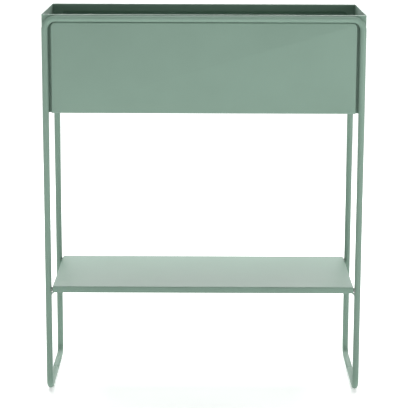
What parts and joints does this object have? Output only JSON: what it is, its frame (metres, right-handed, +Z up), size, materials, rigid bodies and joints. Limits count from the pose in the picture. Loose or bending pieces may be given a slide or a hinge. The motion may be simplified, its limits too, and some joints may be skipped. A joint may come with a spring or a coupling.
{
  "type": "raised planter",
  "caption": "Rectangular sheet-steel planting trough held at table height on a bent round-tube frame, with a flat shelf between the legs.",
  "frame": {"origin": "on the floor, under the middle of the planter", "axes": "+Z up, +X along the trough, -Y towards the front"},
  "size_m": [0.6, 0.25, 0.725],
  "materials": {
    "frame": "satin powder coat, dusty green",
    "trough": "satin powder coat, dusty green",
    "shelf": "satin powder coat, dusty green",
    "fastener": "bright zinc plate",
    "seal": "matte black rubber",
    "plastic": "matte dark grey plastic"
  },
  "bodies": {
    "root": {"front_hoop": "frame", "rear_hoop": "frame", "runner_sleeve_left": "fastener", "runner_sleeve_right": "fastener", "sleeve_screw_front_left": "fastener", "sleeve_screw_front_right": "fastener", "sleeve_screw_rear_left": "fastener", "sleeve_screw_rear_right": "fastener", "trough_wrap": "trough", "trough_end_left": "trough", "trough_end_right": "trough", "trough_screw_front_left": "fastener", "trough_screw_front_right": "fastener", "trough_screw_rear_left": "fastener", "trough_screw_rear_right": "fastener", "trough_seal_front_left": "seal", "trough_seal_front_right": "seal", "trough_seal_rear_left": "seal", "trough_seal_rear_right": "seal", "trough_nut_front_left": "fastener", "trough_nut_front_right": "fastener", "trough_nut_rear_left": "fastener", "trough_nut_rear_right": "fastener", "shelf_tray": "shelf", "shelf_stiffener": "shelf", "shelf_rest_front_left": "frame", "shelf_rest_front_right": "frame", "shelf_rest_rear_left": "frame", "shelf_rest_rear_right": "frame", "shelf_screw_front_left": "fastener", "shelf_screw_front_right": "fastener", "shelf_screw_rear_left": "fastener", "shelf_screw_rear_right": "fastener", "shelf_spacer_front_left": "plastic", "shelf_spacer_front_right": "plastic", "shelf_spacer_rear_left": "plastic", "shelf_spacer_rear_right": "plastic", "shelf_nut_front_left": "fastener", "shelf_nut_front_right": "fastener", "shelf_nut_rear_left": "fastener", "shelf_nut_rear_right": "fastener", "floor_glide_front_left": "plastic", "floor_glide_front_right": "plastic", "floor_glide_rear_left": "plastic", "floor_glide_rear_right": "plastic"}
  },
  "joints": []
}
